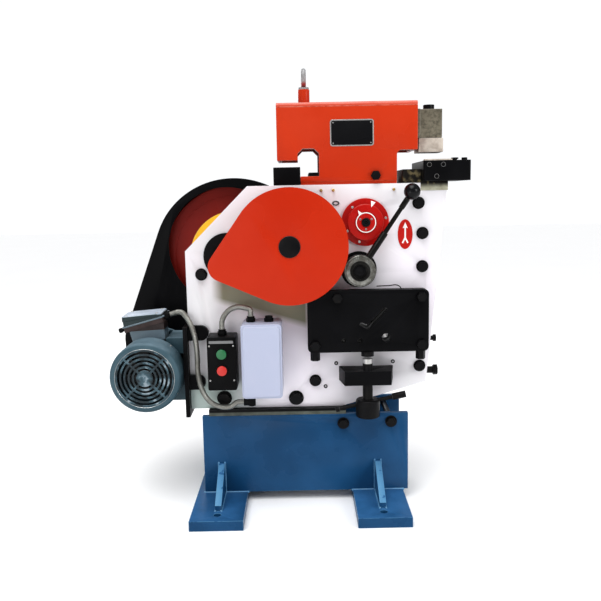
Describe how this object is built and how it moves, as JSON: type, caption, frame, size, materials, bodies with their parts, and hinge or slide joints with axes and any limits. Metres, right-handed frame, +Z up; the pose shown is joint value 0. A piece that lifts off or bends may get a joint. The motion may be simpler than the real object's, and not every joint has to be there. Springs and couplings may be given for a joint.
{
  "type": "ironworker machine",
  "caption": "Floor-standing mechanical ironworker: motor, belt, flywheel and gears rock a beam that punches plate, notches edges and shears bar and angle.",
  "frame": {"origin": "on the floor, at the centre of the four anchor holes", "axes": "+X to the operator's right, +Y to the back, +Z up"},
  "size_m": [0.915, 0.52, 1.102],
  "materials": {
    "blue_paint": "gloss paint",
    "white_paint": "gloss paint",
    "red_paint": "gloss paint",
    "cover_red": "gloss paint",
    "cap_red": "gloss paint",
    "flywheel_red": "paint",
    "yellow_paint": "paint",
    "black_paint": "semi-gloss paint",
    "black_oxide": "black oxide",
    "motor_paint": "painted casting",
    "dark_steel": "machined, oiled",
    "bright_steel": "ground",
    "bronze": "turned",
    "belt_rubber": "matte",
    "black_plastic": "moulded",
    "ball_plastic": "polished",
    "box_plastic": "moulded",
    "green_plastic": "moulded",
    "red_plastic": "moulded",
    "dial_white": "paint",
    "hose_metal": "strip-wound"
  },
  "bodies": {
    "frame": {"base_front_plate": "blue_paint", "base_rear_plate": "blue_paint", "left_foot": "blue_paint", "right_foot": "blue_paint", "bed_plate": "black_paint", "front_plate": "white_paint", "rear_plate": "white_paint", "frame_spacers": "dark_steel", "machine_bolts": "black_oxide", "hood_front": "red_paint", "hood_rear": "red_paint", "hood_top": "red_paint", "lifting_post": "red_paint", "lifting_eye": "bright_steel", "gear_cover": "cover_red", "bearing_flanges": "black_paint", "bronze_bushes": "bronze", "drive_belts": "belt_rubber", "belt_guard": "black_paint", "motor_body": "motor_paint", "fan_cowl": "motor_paint", "terminal_box": "motor_paint", "motor_plate": "black_paint", "shear_hold_plate": "black_paint", "fixed_blade": "bright_steel", "shear_studs": "black_oxide", "clamp_bar": "black_paint", "pivot_cap": "cap_red", "notch_block": "black_paint", "bolster": "bright_steel", "punch_table": "black_paint", "punch_die": "bright_steel", "ram_guide": "dark_steel", "starter_box": "box_plastic", "starter_lid": "box_plastic", "button_box": "black_plastic", "cable_glands": "black_plastic", "conduit_motor": "hose_metal", "conduit_buttons": "hose_metal", "side_adjusters": "black_oxide"},
    "flywheel_unit": {"flywheel": "flywheel_red", "flywheel_hub": "yellow_paint", "pinion_shaft": "dark_steel"},
    "crank_unit": {"crank_gear": "dark_steel", "crank_shaft": "black_oxide"},
    "rotor_unit": {"rotor_shaft": "bright_steel", "motor_pulley": "dark_steel", "cooling_fan": "black_plastic"},
    "rocker_unit": {"rocker": "dark_steel", "rocker_blades": "bright_steel", "pivot_shaft": "dark_steel", "indicator_disc": "dial_white"},
    "ram_unit": {"ram": "bright_steel"},
    "lever_unit": {"lever_arm": "bright_steel", "lever_knob": "ball_plastic"},
    "start_unit": {"start_button": "green_plastic"},
    "stop_unit": {"stop_button": "red_plastic"},
    "clamp_unit": {"clamp_pad": "bright_steel", "clamp_screw": "black_oxide"},
    "tommy_unit": {"tommy_bar": "bright_steel"}
  },
  "joints": [
    {"name": "flywheel_spin", "type": "hinge", "parent": "frame", "child": "flywheel_unit", "pos_m": [-0.16818, 0, 0.62224], "axis": [0, 1, 0], "continuous": true},
    {"name": "crank_spin", "type": "hinge", "parent": "frame", "child": "crank_unit", "pos_m": [-0.014, 0, 0.665], "axis": [0, 1, 0], "continuous": true},
    {"name": "rotor_spin", "type": "hinge", "parent": "frame", "child": "rotor_unit", "pos_m": [-0.378, 0, 0.348], "axis": [0, 1, 0], "continuous": true},
    {"name": "rocker_swing", "type": "hinge", "parent": "frame", "child": "rocker_unit", "pos_m": [0.174, 0, 0.718], "axis": [0, 1, 0], "range_deg": [0, 4.7]},
    {"name": "ram_slide", "type": "slide", "parent": "frame", "child": "ram_unit", "axis": [0, 0, 1], "range_m": [-0.0135, 0]},
    {"name": "lever_swing", "type": "hinge", "parent": "frame", "child": "lever_unit", "pos_m": [0.157, 0, 0.601], "axis": [0, 1, 0], "range_deg": [-30, 15]},
    {"name": "start_push", "type": "slide", "parent": "frame", "child": "start_unit", "axis": [0, 1, 0], "range_m": [0, 0.004], "stiffness_N_per_m": 800},
    {"name": "stop_push", "type": "slide", "parent": "frame", "child": "stop_unit", "axis": [0, 1, 0], "range_m": [0, 0.004], "stiffness_N_per_m": 800},
    {"name": "clamp_turn", "type": "hinge", "parent": "frame", "child": "clamp_unit", "pos_m": [0.174, -0.122, 0.3], "axis": [0, 0, 1], "range_deg": [-14, 14]},
    {"name": "tommy_slide", "type": "slide", "parent": "clamp_unit", "child": "tommy_unit", "axis": [0.9781, 0, 0.2079], "range_m": [-0.022, 0.04]}
  ],
  "couplings": [
    {"joint": "crank_spin", "follows": "flywheel_spin", "ratio": -0.25},
    {"joint": "rotor_spin", "follows": "flywheel_spin", "ratio": 4.1294},
    {"joint": "ram_slide", "follows": "rocker_swing", "m_per_rad": -0.1615}
  ]
}
